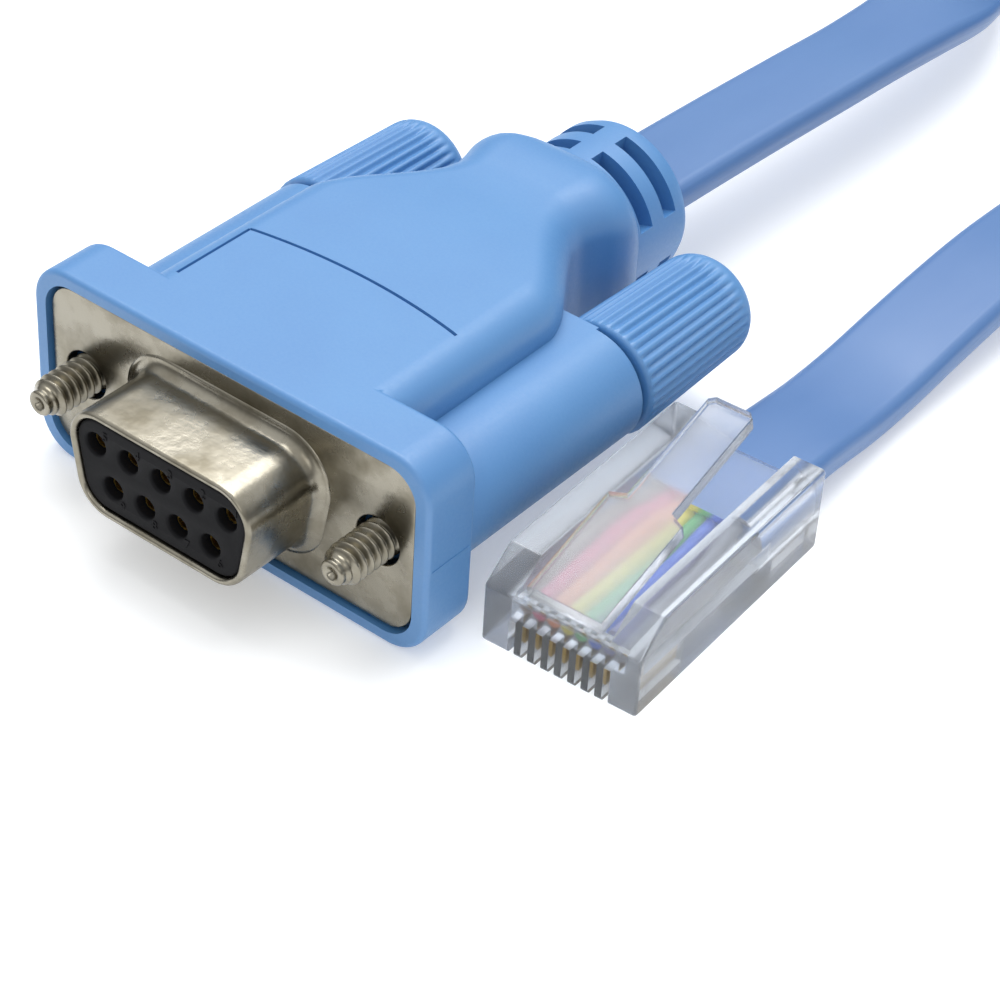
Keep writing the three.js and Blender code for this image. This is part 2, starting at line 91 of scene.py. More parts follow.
# Hood
FLANGE = (33.5, 15.0)
FLANGE_CORNER = 3.0
FLANGE_BACK = 4.5
HOUSING_X = 12.195
HOUSING_RADIUS = 4.2
HOUSING_END = 22.6
BOOT_RADIUS = 6.0
BOOT_CORE = 3.9
BOOT_END = 42.0
SLOTS = (36.25, 38.95)
SLOT_WIDTH = 1.35
NARROW_BRIDGE = 9
WIDE_BRIDGE = 18
RECESS_GAP = 0.25
HOOD_CAVITY = ((-9.6, 9.6), (1, 9), (-5.3, 5.3))
SCREW_BORE = 1.9
KNOB_ROOM = 4.7
KNOB_FRONT = 22.9
KNOB_LENGTH = 12.8

# Plug
PLUG_X = 23.7
PLUG_Y = 4.6 - HOOD_MIDDLE
PLUG_TURN = math.radians(3)
IN_PLUG = (
    Matrix.Translation((PLUG_X * MM, PLUG_Y * MM, 0))
    @ Matrix.Rotation(PLUG_TURN, 4, "Z")
    @ Matrix.Scale(MM, 4)
)
PLUG_WIDTH = 11.68
PLUG_LENGTH = 21.46
PLUG_HEIGHT = 6.5
NOSE_HEIGHT = 4.6
NOSE_RISE = 2.6
CHANNEL_WIDTH = 6.9
CHANNEL_FLOOR = 4.75
JACKET_IN_PLUG = 6.2
CABLE_IN_PLUG = 2.8
WIRES = 8
WIRE_PITCH = 1.016
WIRE_RADIUS = 0.475
MOUTH_GAP = 0.3
MOUTH_CORNER = 1.1
CHAMBER_FRONT = 1.6
CHAMBER_HALF = 0.64
CHAMBER_SIDE = 0.17
CLAMP_POCKET = ((-3, 3), (17.26, 21.26), (-1, 0.9))
BLADE_SLOT = 0.5
COMB_BACK = 6.4
LATCH_THICKNESS = 1.2
LATCH_HINGE = Matrix.Translation((0, 1.1, 5.0)) @ Matrix.Rotation(math.radians(14), 4, "X")

# Cable, and the hank of the length that is put away
CABLE_WIDTH = 7.7
CABLE_THICKNESS = 2.4
HANK_X = 10.0
HANK_NEAR = 113.7
HANK_RUN = 60.0
HANK_TURNS = 6
HANK_PITCH = 2.75
HANK_INNER = 7.5
HANK_BOTTOM = 1.3
HANK_TOP = HANK_BOTTOM + CABLE_WIDTH
ON_EDGE = HANK_BOTTOM + CABLE_WIDTH / 2
OVER_HANK = HANK_TOP + 0.3 + CABLE_THICKNESS / 2
TIE_THICKNESS = 1.0
TIE_WIDTH = 7.0


def plug_point(along):
    return [c / MM for c in IN_PLUG @ Vector((0, along, CABLE_IN_PLUG))]


# The cable's centre line in the row's frame, each point with the turn of its width in degrees
HOOD_STRETCH = [
    [0, 24.3, 7.5, 0],
    [0.2, 30, 7.5, 0],
    [0.6, 38, 7.5, 0],
    [1.0, 46, 7.4, 0],
    [1.3, 54, 7.2, 0],
    [1.3, 61, 6.9, 8],
    [0.8, 68, 6.4, 25],
    [-0.6, 74, 5.9, 45],
    [-2.8, 80, 5.4, 65],
    [-5.7, 86, 5.2, 80],
    [-8.9, 92, ON_EDGE, 88],
    [-11.3, 97, ON_EDGE, 90],
    [-12.6, 101.6, ON_EDGE, 90],
]
INSIDE_HANK = [
    [17.3, 168, ON_EDGE, 90],
    [16.5, 162, ON_EDGE, 82],
    [15.2, 156, 5.1, 55],
    [13.9, 149, 5.4, 22],
    [13.2, 142, 6.0, 0],
    [13.2, 135, 7.4, 0],
    [13.6, 128, 9.2, 0],
]
PLUG_STRETCH = [
    [14.2, 121, OVER_HANK, 0],
    [15.6, 112, OVER_HANK, 0],
    [17.2, 102, OVER_HANK, 0],
    [18.6, 93, OVER_HANK, 0],
    [19.6, 86, 9.8, 0],
    [20.5, 79, 7.6, 0],
    [21.2, 72, 5.2, 0],
    [21.7, 66, 3.5, 0],
    [22.0, 60, 2.6, 0],
    [22.0, 54, 2.6, 0],
    [22.0, 47.5, 3.1, 0],
    [22.0, 41, 3.3, 0],
    [22.0, 35, 3.0, 0],
    [22.0, 29.5, 2.5, 0],
    [22.0, 24, 1.9, 0],
    [22.1, 19, 1.9, 0],
    [22.35, 13, 2.6, 0],
    [*plug_point(PLUG_LENGTH), 0],
    [*plug_point(PLUG_LENGTH - JACKET_IN_PLUG / 2), 0],
    [*plug_point(PLUG_LENGTH - JACKET_IN_PLUG), 0],
]


def linear(colour):
    """Linear RGBA of an sRGB hex colour."""
    parts = [int(colour[i:i + 2], 16) / 255 for i in (1, 3, 5)]
    return [c / 12.92 if c <= 0.04045 else ((c + 0.055) / 1.055) ** 2.4 for c in parts] + [1.0]


def colour_property(name, description, colour):
    return FloatVectorProperty(
        name=name, description=description, default=linear(colour)[:3], subtype="COLOR",
        min=0, max=1, size=3,
    )


class ConsoleCableSizes(bpy.types.PropertyGroup):
    """Sizes of the dressed pieces that a user would change"""

    flute_count: IntProperty(
        name="Knob flutes", description="Straight flutes round each knob", default=36, min=8,
    )
    flute_depth: FloatProperty(
        name="Flute depth", description="Depth of a knob's flutes, in mm", default=0.24, min=0,
    )
    groove_depth: FloatProperty(
        name="Label groove depth", description="Depth of the hood's label groove, in mm",
        default=0.3, min=0,
    )
    thread_pitch: FloatProperty(
        name="Thread pitch", description="Pitch of the screws' thread, in mm",
        default=0.635, min=0.2,
    )
    cable_length: FloatProperty(
        name="Cable length", description="Real length of the flat cable",
        default=1.5, unit="LENGTH", min=0.1,
    )


class ConsoleCableColours(bpy.types.PropertyGroup):
    """Colours of the finishes"""

    hood: colour_property("Hood", "Moulded vinyl of the hood and knobs", "#4C85BC")
    jacket: colour_property("Jacket", "Extruded vinyl of the cable", "#4974A9")
    nickel: colour_property("Nickel", "Plating of the plate, shell and screws", "#9A9588")
    gold: colour_property("Gold", "Flash on the contacts", "#C9A24A")
    insert: colour_property("Insert", "Black thermoplastic round the contacts", "#111113")
    plug: colour_property("Plug", "Clear polycarbonate of the plug", "#DADEE4")
    strap: colour_property("Strap", "Woven strap round the hank", "#2B2B2E")
    floor: colour_property("Floor", "Pale paper under the cable", "#E8E9EA")


WIRE_COLOURS = [
    "#8A6F5C", "#D94F6C", "#EC8A4A", "#E8D43C", "#52B25E", "#3E68D2", "#7F7BA0", "#8C8C92",
]


def sizes():
    return bpy.context.scene.console_cable_sizes


def colours():
    return bpy.context.scene.console_cable_colours


# Outlines and meshes

def rounded_outline(corners, radius, steps=8):
    """Points of a polygon with round corners, each with its outward normal."""
    points = []
    for i, corner in enumerate(corners):
        corner = Vector(corner)
        before = (Vector(corners[i - 1]) - corner).normalized()
        after = (Vector(corners[(i + 1) % len(corners)]) - corner).normalized()
        half = before.angle(after) / 2
        centre = corner + (before + after).normalized() * (radius / math.sin(half))
        start = corner + before * (radius / math.tan(half)) - centre
        end = corner + after * (radius / math.tan(half)) - centre
        first = math.atan2(start.y, start.x)
        sweep = (math.atan2(end.y, end.x) - first + math.pi) % (2 * math.pi) - math.pi
        for k in range(steps + 1):
            angle = first + sweep * k / steps
            normal = Vector((math.cos(angle), math.sin(angle)))
            points.append((centre + normal * radius, normal))
    return points


def rectangle(width, height):
    w, h = width / 2, height / 2
    return [(-w, -h), (w, -h), (w, h), (-w, h)]


def d_corners(width, height):
    lean = height * math.tan(SHELL_SLANT)
    w, h = width / 2, height / 2
    return [(lean - w, -h), (w - lean, -h), (w, h), (-w, h)]


def circle(radius, x=0.0, z=0.0, steps=40):
    turns = [2 * math.pi * i / steps for i in range(steps)]
    return [(x + radius * math.cos(a), z + radius * math.sin(a)) for a in turns]


def ring_at(outline, y, inset=0.0):
    """Closed ring across Y from an outline with normals."""
    return [(p.x - n.x * inset, y, p.y - n.y * inset) for p, n in outline]


def loft(rings, capped=True, looped=False):
    count = len(rings[0])
    verts = [p for ring in rings for p in ring]
    faces = []
    spans = len(rings) if looped else len(rings) - 1
    for r in range(spans):
        a, b = r * count, (r + 1) % len(rings) * count
        faces += [(a + i, a + (i + 1) % count, b + (i + 1) % count, b + i) for i in range(count)]
    if capped and not looped:
        faces.append(tuple(range(count)))
        faces.append(tuple(range(len(verts) - count, len(verts))))
    return verts, faces


def turned(profile, sides=64, x=0.0, z=0.0):
    """Round piece about a line along Y, from radius and Y pairs."""
    return loft([[(px, y, pz) for px, pz in circle(r, x, z, sides)] for r, y in profile])


def joined(*shapes):
    verts, faces = [], []
    for more_verts, more_faces in shapes:
        faces += [tuple(i + len(verts) for i in f) for f in more_faces]
        verts += more_verts
    return verts, faces


def block(x, y, z):
    """Box from its limits along each axis."""
    verts = [(a, b, c) for a in x for b in y for c in z]
    return verts, [(0, 1, 3, 2), (4, 6, 7, 5), (0, 4, 5, 1), (2, 3, 7, 6), (0, 2, 6, 4), (1, 5, 7, 3)]


def linked(name, data):
    """Object with that data, in the scene."""
    obj = bpy.data.objects.new(name, data)
    bpy.context.scene.collection.objects.link(obj)
    return obj


def mesh_of(obj):
    """The mesh that an object, curve or text makes with its modifiers."""
    graph = bpy.context.evaluated_depsgraph_get()
    return bpy.data.meshes.new_from_object(obj.evaluated_get(graph))


def working(shape, name="work"):
    """Object in millimetres, faces pointing out, for modifiers to act on."""
    verts, faces = shape
    mesh = bpy.data.meshes.new(name)
    mesh.from_pydata([tuple(v) for v in verts], [], faces)
    made = bmesh.new()
    made.from_mesh(mesh)
    bmesh.ops.recalc_face_normals(made, faces=made.faces)
    made.to_mesh(mesh)
    made.free()
    return linked(name, mesh)


def modified(obj, kind, **settings):
    """Gives an object the mesh that a modifier makes of it."""
    modifier = obj.modifiers.new(kind.title(), kind)
    for name, value in settings.items():
        setattr(modifier, name, value)
    mesh = mesh_of(obj)
    obj.modifiers.clear()
    obj.data = mesh
    return obj


def meshed(curve, name):
    """Object with the mesh of a curve or text."""
    drawn = linked(name, curve)
    mesh = mesh_of(drawn)
    bpy.data.objects.remove(drawn)
    return linked(name, mesh)


def combined(obj, shape, operation):
    """Joins a shape to an object or cuts it out, by a boolean."""
    tool = working(shape, "tool")
    modified(obj, "BOOLEAN", object=tool, operation=operation, solver="MANIFOLD")
    bpy.data.objects.remove(tool)
    return obj


def cut(obj, shape):
    return combined(obj, shape, "DIFFERENCE")


def sheet(outlines, thickness, bevel, steps=2):
    """Flat piece with holes and rounded edges, lying across Z, from its outlines."""
    curve = bpy.data.curves.new("outline", "CURVE")
    curve.dimensions = "2D"
    curve.fill_mode = "BOTH"
    curve.extrude = thickness / 2 - bevel
    curve.bevel_depth = bevel
    curve.bevel_resolution = steps
    curve.offset = -bevel
    for outline in outlines:
        spline = curve.splines.new("POLY")
        spline.points.add(len(outline) - 1)
        for point, (x, y) in zip(spline.points, outline):
            point.co = (x, y, 0, 1)
        spline.use_cyclic_u = True
    return modified(meshed(curve, "sheet"), "WELD", merge_threshold=1e-4)


def set_down(obj, name, place, material, body=TRUNK, replaced=(), sharp=None):
    """Names a finished piece, puts it in the row's frame and joins it to its body."""
    obj.name = name
    obj.data.name = name
    obj.data.transform(place)
    obj.data.shade_smooth()
    if sharp is not None:
        obj.data.set_sharp_from_angle(angle=math.radians(sharp))
    obj.data.materials.clear()
    obj.data.materials.append(material)
    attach(obj, body)
    if replaced:
        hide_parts(*replaced)
    return obj


def refinished(name, material):
    """Gives a carried-over node another material, its shape as it was."""
    node = frame["nodes"][name]
    node.data.materials.clear()
    node.data.materials.append(material)


# Upright plane of the hood's front: a sheet's X, Y and Z become X, Z and -Y
FACING = Matrix(((1, 0, 0, 0), (0, 0, -1, 0), (0, 1, 0, 0), (0, 0, 0, 1)))


# Finishes

def add_node(tree, kind, inputs=None, **settings):
    """Adds a node with its settings; an input is a value or another node's socket."""
    made = tree.nodes.new(kind)
    for name, value in settings.items():
        setattr(made, name, value)
    for key, value in (inputs or {}).items():
        if isinstance(value, bpy.types.NodeSocket):
            tree.links.new(value, made.inputs[key])
        else:
            made.inputs[key].default_value = value
    return made


def new_material(name):
    """Material with only its output node."""
    material = bpy.data.materials.new(name)
    material.use_nodes = True
    tree = material.node_tree
    tree.nodes.clear()
    return material, tree, tree.nodes.new("ShaderNodeOutputMaterial")


def per_mm(size):
    """Noise scale of features that are this many millimetres across."""
    return 1 / (size * MM)


def shades(colour, *shares):
    """A colour and its second shade, as shares of its red, green and blue."""
    base = [*colour[:3], 1]
    return base, [c * s for c, s in zip(base, (*shares, 1))]


def moulded_vinyl():
    """Soft PVC from a spark-eroded mould: satin, with faint flow clouds and a fine even grain."""
    material, tree, output = new_material("moulded_vinyl")
    place = add_node(tree, "ShaderNodeTexCoord").outputs["Object"]
    clouds = add_node(tree, "ShaderNodeTexNoise", {
        "Vector": place, "Scale": per_mm(9), "Detail": 3.0, "Roughness": 0.55})
    grain = add_node(tree, "ShaderNodeTexNoise", {
        "Vector": place, "Scale": per_mm(0.22), "Detail": 2.0})
    base, deeper = shades(colours().hood, 0.82, 0.87, 0.93)
    blend = add_node(tree, "ShaderNodeMapRange", {
        "Value": clouds.outputs["Fac"], "From Min": 0.35, "From Max": 0.65,
        "To Min": 0.0, "To Max": 0.5})
    colour = add_node(tree, "ShaderNodeMix", {
        "Factor": blend.outputs["Result"], "A": base, "B": deeper}, data_type="RGBA")
    gloss = add_node(tree, "ShaderNodeMapRange", {
        "Value": grain.outputs["Fac"], "From Min": 0.3, "From Max": 0.7,
        "To Min": 0.42, "To Max": 0.56})
    relief = add_node(tree, "ShaderNodeBump", {
        "Height": grain.outputs["Fac"], "Strength": 0.12, "Distance": 0.00003})
    surface = add_node(tree, "ShaderNodeBsdfPrincipled", {
        "Base Color": colour.outputs["Result"], "Roughness": gloss.outputs["Result"],
        "IOR": 1.52, "Specular IOR Level": 1.0, "Subsurface Weight": 0.08,
        "Subsurface Radius": (0.5, 0.7, 1.0), "Subsurface Scale": 0.0006,
        "Normal": relief.outputs["Normal"]})
    tree.links.new(surface.outputs["BSDF"], output.inputs["Surface"])
    return material


def extruded_vinyl():
    """Flat cable jacket drawn through a die: satin with faint streaks along its length."""
    material, tree, output = new_material("extruded_vinyl")
    across = add_node(tree, "ShaderNodeUVMap", uv_map="jacket").outputs["UV"]
    drawn = add_node(tree, "ShaderNodeMapping", {
        "Vector": across, "Scale": (per_mm(0.35), per_mm(14), 1)})
    streaks = add_node(tree, "ShaderNodeTexNoise", {
        "Vector": drawn.outputs["Vector"], "Scale": 1.0, "Detail": 2.0})
    place = add_node(tree, "ShaderNodeTexCoord").outputs["Object"]
    clouds = add_node(tree, "ShaderNodeTexNoise", {
        "Vector": place, "Scale": per_mm(12), "Detail": 2.0})
    base, deeper = shades(colours().jacket, 0.84, 0.87, 0.94)
    colour = add_node(tree, "ShaderNodeMix", {
        "Factor": clouds.outputs["Fac"], "A": base, "B": deeper}, data_type="RGBA")
    gloss = add_node(tree, "ShaderNodeMapRange", {
        "Value": streaks.outputs["Fac"], "From Min": 0.3, "From Max": 0.7,
        "To Min": 0.36, "To Max": 0.5})
    relief = add_node(tree, "ShaderNodeBump", {
        "Height": streaks.outputs["Fac"], "Strength": 0.15, "Distance": 0.00004})
    surface = add_node(tree, "ShaderNodeBsdfPrincipled", {
        "Base Color": colour.outputs["Result"], "Roughness": gloss.outputs["Result"],
        "IOR": 1.52, "Specular IOR Level": 0.9, "Subsurface Weight": 0.08,
        "Subsurface Radius": (0.5, 0.7, 1.0), "Subsurface Scale": 0.0006,
        "Normal": relief.outputs["Normal"]})
    tree.links.new(surface.outputs["BSDF"], output.inputs["Surface"])
    return material


def plated_steel():
    """Stamped steel with satin nickel: warm grey with darker smudges, soft smeared reflections
    and faint rolling marks."""
    material, tree, output = new_material("satin_nickel_plate")
    place = add_node(tree, "ShaderNodeTexCoord").outputs["Object"]
    haze = add_node(tree, "ShaderNodeTexNoise", {
        "Vector": place, "Scale": per_mm(3.5), "Detail": 4.0, "Roughness": 0.6})
    rolled = add_node(tree, "ShaderNodeMapping", {
        "Vector": place, "Scale": (per_mm(2.5), per_mm(0.12), per_mm(0.12))})
    marks = add_node(tree, "ShaderNodeTexNoise", {
        "Vector": rolled.outputs["Vector"], "Scale": 1.0, "Detail": 2.0})
    base, tarnish = shades(colours().nickel, 0.62, 0.6, 0.55)
    smudges = add_node(tree, "ShaderNodeMapRange", {
        "Value": haze.outputs["Fac"], "From Min": 0.42, "From Max": 0.68})
    colour = add_node(tree, "ShaderNodeMix", {
        "Factor": smudges.outputs["Result"], "A": base, "B": tarnish}, data_type="RGBA")
    gloss = add_node(tree, "ShaderNodeMapRange", {
        "Value": haze.outputs["Fac"], "From Min": 0.3, "From Max": 0.7,
        "To Min": 0.2, "To Max": 0.36})
    relief = add_node(tree, "ShaderNodeBump", {
        "Height": marks.outputs["Fac"], "Strength": 0.1, "Distance": 0.00002})
    dished = add_node(tree, "ShaderNodeBump", {
        "Height": haze.outputs["Fac"], "Strength": 0.4, "Distance": 0.00014,
        "Normal": relief.outputs["Normal"]})
    surface = add_node(tree, "ShaderNodeBsdfPrincipled", {
        "Base Color": colour.outputs["Result"], "Metallic": 1.0,
        "Roughness": gloss.outputs["Result"], "Normal": dished.outputs["Normal"]})
    tree.links.new(surface.outputs["BSDF"], output.inputs["Surface"])
    return material


def gold_flash():
    """Thin gold over nickel on stamped contacts: yellow, smooth, slightly worn."""
    material, tree, output = new_material("gold_flash")
    place = add_node(tree, "ShaderNodeTexCoord").outputs["Object"]
    wear = add_node(tree, "ShaderNodeTexNoise", {
        "Vector": place, "Scale": per_mm(0.8), "Detail": 3.0})
    base, worn = shades(colours().gold, 0.8, 0.82, 1.1)
    colour = add_node(tree, "ShaderNodeMix", {
        "Factor": wear.outputs["Fac"], "A": base, "B": worn}, data_type="RGBA")
    surface = add_node(tree, "ShaderNodeBsdfPrincipled", {
        "Base Color": colour.outputs["Result"], "Metallic": 1.0, "Roughness": 0.28})
    tree.links.new(surface.outputs["BSDF"], output.inputs["Surface"])
    return material


def black_thermoplastic():
    """Glass-filled PBT, moulded: nearly black, matt, with a fine speckle."""
    material, tree, output = new_material("moulded_black_pbt")
    place = add_node(tree, "ShaderNodeTexCoord").outputs["Object"]
    speckle = add_node(tree, "ShaderNodeTexNoise", {
        "Vector": place, "Scale": per_mm(0.3), "Detail": 3.0})
    base, lighter = shades(colours().insert, 1.7, 1.7, 1.7)
    colour = add_node(tree, "ShaderNodeMix", {
        "Factor": speckle.outputs["Fac"], "A": base, "B": lighter}, data_type="RGBA")
    relief = add_node(tree, "ShaderNodeBump", {
        "Height": speckle.outputs["Fac"], "Strength": 0.2, "Distance": 0.00003})
    surface = add_node(tree, "ShaderNodeBsdfPrincipled", {
        "Base Color": colour.outputs["Result"], "Roughness": 0.55, "IOR": 1.5,
        "Specular IOR Level": 0.1, "Normal": relief.outputs["Normal"]})
    tree.links.new(surface.outputs["BSDF"], output.inputs["Surface"])
    return material


def clear_polycarbonate():
    """Injection-moulded polycarbonate, scuffed in use: clear with a smoky grey body and soft
    highlights, and it blurs what lies under it."""
    material, tree, output = new_material("clear_polycarbonate")
    place = add_node(tree, "ShaderNodeTexCoord").outputs["Object"]
    flow = add_node(tree, "ShaderNodeTexNoise", {
        "Vector": place, "Scale": per_mm(2.5), "Detail": 3.0})
    relief = add_node(tree, "ShaderNodeBump", {
        "Height": flow.outputs["Fac"], "Strength": 0.15, "Distance": 0.0001})
    surface = add_node(tree, "ShaderNodeBsdfPrincipled", {
        "Base Color": [*colours().plug, 1], "Roughness": 0.2, "IOR": 1.38,
        "Transmission Weight": 0.96, "Normal": relief.outputs["Normal"]})
    passing = add_node(tree, "ShaderNodeBsdfTransparent", {"Color": linear("#F3F5F6")})
    rays = add_node(tree, "ShaderNodeLightPath")
    both = add_node(tree, "ShaderNodeMixShader", {
        0: rays.outputs["Is Shadow Ray"], 1: surface.outputs["BSDF"],
        2: passing.outputs["BSDF"]})
    tree.links.new(both.outputs["Shader"], output.inputs["Surface"])
    return material


def wire_insulation(index):
    """Extruded insulation of one conductor: saturated, satin."""
    material, tree, output = new_material(f"wire_insulation_{index + 1}")
    place = add_node(tree, "ShaderNodeTexCoord").outputs["Object"]
    mottle = add_node(tree, "ShaderNodeTexNoise", {
        "Vector": place, "Scale": per_mm(1.2), "Detail": 2.0})
    base, deeper = shades(linear(WIRE_COLOURS[index]), 0.75, 0.75, 0.75)
    colour = add_node(tree, "ShaderNodeMix", {
        "Factor": mottle.outputs["Fac"], "A": base, "B": deeper}, data_type="RGBA")
    surface = add_node(tree, "ShaderNodeBsdfPrincipled", {
        "Base Color": colour.outputs["Result"], "Roughness": 0.4, "IOR": 1.5})
    tree.links.new(surface.outputs["BSDF"], output.inputs["Surface"])
    return material


def woven_strap():
    """Woven nylon with a brushed loop face: black, matt, a 0.5 mm plain weave."""
    material, tree, output = new_material("woven_nylon")
    place = add_node(tree, "ShaderNodeTexCoord").outputs["Object"]
    weave = add_node(tree, "ShaderNodeTexWave", {
        "Vector": place, "Scale": per_mm(0.5) / 6.28, "Distortion": 1.5, "Detail": 1.0},
        bands_direction="DIAGONAL")
    base, lighter = shades(colours().strap, 2.2, 2.2, 2.2)
    colour = add_node(tree, "ShaderNodeMix", {
        "Factor": weave.outputs["Fac"], "A": base, "B": lighter}, data_type="RGBA")
    relief = add_node(tree, "ShaderNodeBump", {
        "Height": weave.outputs["Fac"], "Strength": 0.5, "Distance": 0.0001})
    surface = add_node(tree, "ShaderNodeBsdfPrincipled", {
        "Base Color": colour.outputs["Result"], "Roughness": 0.85, "Sheen Weight": 0.3,
        "Normal": relief.outputs["Normal"]})
    tree.links.new(surface.outputs["BSDF"], output.inputs["Surface"])
    return material


def once(name, make):
    """The material of that name, made the first time it is asked for."""
    return bpy.data.materials.get(name) or make()


# Hood

# Along Y: the body's half width, half height and corner radius
BODY_STATIONS = [
    (3.5, 10.8, 7.5, 2.3),
    (19.3, 10.75, 7.5, 2.5),
    (20.3, 10.5, 7.49, 2.6),
    (21.5, 9.95, 7.47, 2.7),
    (23.0, 9.0, 7.42, 2.8),
    (24.6, 7.9, 7.36, 2.9),
    (26.0, 7.0, 7.3, 2.9),
    (27.5, 6.2, 7.28, 2.9),
    (29.0, 5.9, 7.3, 3.0),
    (30.5, 6.2, 7.38, 3.2),
    (32.0, 6.7, 7.42, 3.5),
    (33.4, 6.9, 7.3, 3.9),
    (34.5, 6.7, 6.9, 4.6),
    (35.4, 6.1, 6.2, 5.4),
    (36.1, 5.3, 5.3, 5.1),
]


def filled_in(rows, step):
    """Rows of numbers with more between them, on smooth curves along their first number."""
    def slope(i, k):
        if i in (0, len(rows) - 1):
            return 0.0
        before, here, after = rows[i - 1:i + 2]
        first = (here[k] - before[k]) / (here[0] - before[0])
        second = (after[k] - here[k]) / (after[0] - here[0])
        return 2 * first * second / (first + second) if first * second > 0 else 0.0

    made = []
    for i, (low, high) in enumerate(zip(rows, rows[1:])):
        span = high[0] - low[0]
        count = max(1, round(span / step))
        for n in range(count):
            t = n / count
            row = [low[0] + span * t]
            for k in range(1, len(low)):
                row.append(
                    low[k] * (1 + 2 * t) * (1 - t) ** 2 + high[k] * t * t * (3 - 2 * t)
                    + span * (slope(i, k) * t * (1 - t) ** 2 - slope(i + 1, k) * t * t * (1 - t))
                )
            made.append(row)
    return made + [list(rows[-1])]


def hood_outside():
    """The hood's forms, which are joined before its hollows are cut."""
    body = loft([
        ring_at(rounded_outline(rectangle(2 * a, 2 * b), r, 12), y)
        for y, a, b, r in filled_in(BODY_STATIONS, 0.4)
    ])
    outline = rounded_outline(rectangle(*FLANGE), FLANGE_CORNER, 12)
    edge = [(0.4 * (1 - math.cos(a)), 0.4 * (1 - math.sin(a)))
            for a in (math.pi / 12 * i for i in range(7))]
    flange = loft(
        [ring_at(outline, y, inset) for y, inset in edge]
        + [ring_at(outline, FLANGE_BACK - y, inset) for y, inset in reversed(edge)]
    )
    side = FLANGE[0] / 2
    flash = block((side - 1, side + 0.05), (0.5, FLANGE_BACK - 0.5), (-0.35, -0.27))
    boot = turned([
        (BOOT_RADIUS - 1.2, 31), (BOOT_RADIUS, 35), (BOOT_RADIUS, BOOT_END - 1),
        (BOOT_RADIUS - 0.25, BOOT_END - 0.35), (BOOT_RADIUS - 0.9, BOOT_END),
    ], 96)
    housings = [
        turned([
            (HOUSING_RADIUS, 0.6), (HOUSING_RADIUS, HOUSING_END - 0.3),
            (HOUSING_RADIUS - 0.3, HOUSING_END),
        ], 64, x)
        for x in (-HOUSING_X, HOUSING_X)
    ]
    shelf = block((-HOUSING_X, HOUSING_X), (0.6, HOUSING_END), (-HOUSING_RADIUS, HOUSING_RADIUS))
    return [flange, flash, boot, shelf, *housings, body]


def boot_slot(at):
    """Four quarters of a ring slot: narrow bridges top and bottom, wide ones at the sides.

    A bridge is given by half its width in degrees."""
    quarters = []
    for quarter in range(4):
        low, high = WIDE_BRIDGE, NARROW_BRIDGE
        if quarter % 2 == 1:
            low, high = high, low
        first = math.radians(90 * quarter + low)
        last = math.radians(90 * quarter + 90 - high)
        arc = [first + (last - first) * i / 14 for i in range(15)]
        outside = BOOT_RADIUS + 1
        flat = [(outside * math.cos(a), outside * math.sin(a)) for a in arc]
        flat += [(BOOT_CORE * math.cos(a), BOOT_CORE * math.sin(a)) for a in reversed(arc)]
        quarters.append(loft([[(x, y, z) for x, z in flat] for y in (at, at + SLOT_WIDTH)]))
    return joined(*quarters)


def label_groove(depth):
    """Side line and bowed back line of the label place, cut into the top."""
    half, back, front, bulge, width = 8.75, 11.95, 5.1, 0.9, 0.26
    bow = (half * half + bulge * bulge) / (2 * bulge)
    spread = math.asin(half / bow)
    centre = back + bulge - bow
    turns = [math.pi / 2 - spread + 2 * spread * i / 24 for i in range(25)]
    flat = [((bow + width / 2) * math.cos(a), (bow + width / 2) * math.sin(a)) for a in turns]
    flat += [
        ((bow - width / 2) * math.cos(a), (bow - width / 2) * math.sin(a)) for a in reversed(turns)
    ]
    levels = (HOOD_HALF - depth, HOOD_HALF + 1)
    line = loft([[(x, y + centre, z) for x, y in flat] for z in levels])
    side = block((-half - width / 2, -half + width / 2), (front, back), levels)
    return line, side


class CONSOLECABLE_OT_hood(bpy.types.Operator):
    """Mould the hood: flange, body, screw housings and slotted strain relief in one piece"""

    bl_idname = "console_cable.hood"
    bl_label = "Hood"

    def execute(self, context):
        first, *others = hood_outside()
        hood = working(first)
        for shape in others:
            combined(hood, shape, "UNION")
        room = [side + 2 * RECESS_GAP for side in PLATE]
        recess = rounded_outline(rectangle(*room), PLATE_CORNER + RECESS_GAP)
        cut(hood, loft([ring_at(recess, -1), ring_at(recess, PLATE_BACK + 0.05)]))
        cut(hood, block(*HOOD_CAVITY))
        for x in (-SCREW_X, SCREW_X):
            cut(hood, turned([(SCREW_BORE, 0), (SCREW_BORE, HOUSING_END + 1)], 40, x))
            cut(hood, turned([(KNOB_ROOM, HOUSING_END), (KNOB_ROOM, BOOT_END)], 72, x))
        for at in SLOTS:
            cut(hood, boot_slot(at))
        for groove in label_groove(sizes().groove_depth):
            cut(hood, groove)
        set_down(hood, "hood_moulding", IN_HOOD, once("moulded_vinyl", moulded_vinyl),
                 replaced=["hood"], sharp=40)
        modified(hood, "WEIGHTED_NORMAL", keep_sharp=True, weight=60)
        return {"FINISHED"}


# Nine-way connector

